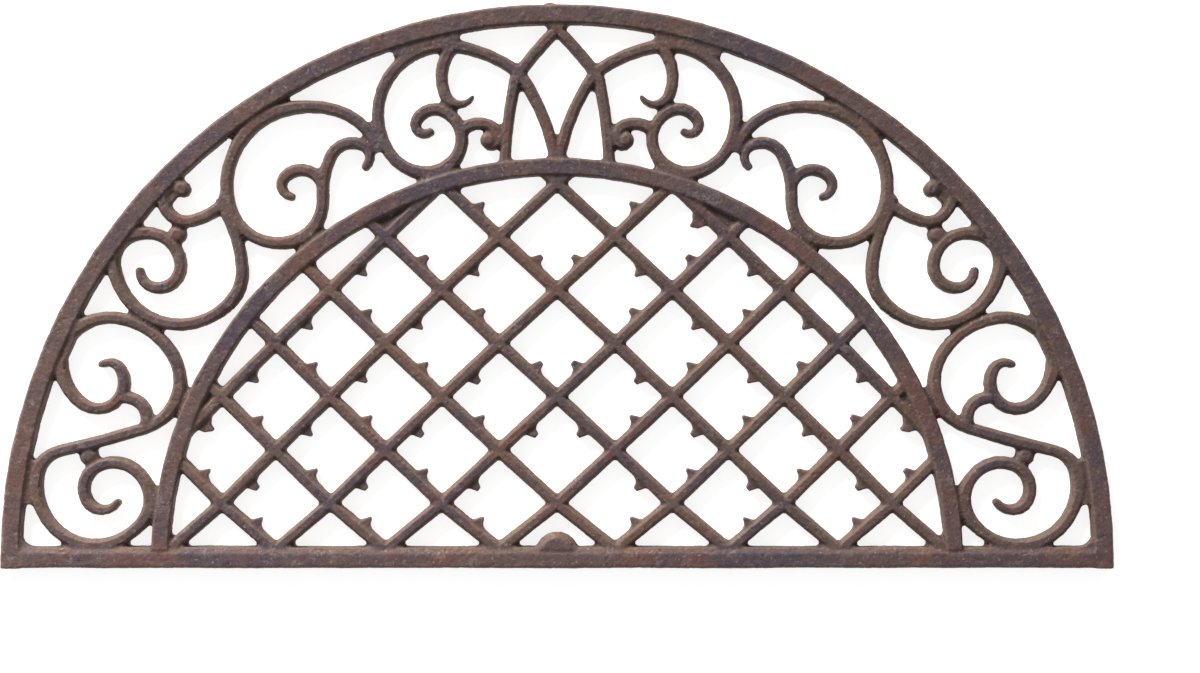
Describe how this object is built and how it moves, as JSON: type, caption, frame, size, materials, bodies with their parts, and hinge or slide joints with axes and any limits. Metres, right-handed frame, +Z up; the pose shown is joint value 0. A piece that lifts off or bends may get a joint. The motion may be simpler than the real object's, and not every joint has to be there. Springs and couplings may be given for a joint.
{
  "type": "half-round door mat",
  "caption": "Half-round open-work door mat in cast iron: a flat bow and base bar frame a diagonal lattice with small thorns and a band of scrolls with volutes.",
  "frame": {"origin": "centre of the bow's circle on the plane of the underside, a point on the base bar's flat underside", "axes": "+X along the straight base bar to the right, +Y from the base bar to the bow's crown, +Z up from the underside to the trodden face"},
  "size_m": [0.76, 0.3869, 0.014],
  "materials": {
    "cast_iron": "bare weathered cast iron, rust brown with grey-purple patches, dry and matt, crown edges worn lighter"
  },
  "bodies": {
    "root": {"base_bar": "cast_iron", "base_boss": "cast_iron", "crown_lancets": "cast_iron", "crown_vee": "cast_iron", "inner_arch": "cast_iron", "lattice_falling_bar_1": "cast_iron", "lattice_falling_bar_2": "cast_iron", "lattice_falling_bar_3": "cast_iron", "lattice_falling_bar_4": "cast_iron", "lattice_falling_bar_5": "cast_iron", "lattice_falling_bar_6": "cast_iron", "lattice_falling_bar_7": "cast_iron", "lattice_falling_bar_8": "cast_iron", "lattice_rising_bar_1": "cast_iron", "lattice_rising_bar_2": "cast_iron", "lattice_rising_bar_3": "cast_iron", "lattice_rising_bar_4": "cast_iron", "lattice_rising_bar_5": "cast_iron", "lattice_rising_bar_6": "cast_iron", "lattice_rising_bar_7": "cast_iron", "lattice_rising_bar_8": "cast_iron", "left_crown_scroll": "cast_iron", "left_hook_scroll": "cast_iron", "left_lower_bead": "cast_iron", "left_lower_scroll": "cast_iron", "left_middle_bead": "cast_iron", "left_middle_scroll": "cast_iron", "left_upper_scroll": "cast_iron", "outer_bow": "cast_iron", "right_crown_scroll": "cast_iron", "right_hook_scroll": "cast_iron", "right_lower_bead": "cast_iron", "right_lower_scroll": "cast_iron", "right_middle_bead": "cast_iron", "right_middle_scroll": "cast_iron", "right_upper_scroll": "cast_iron"}
  },
  "joints": []
}
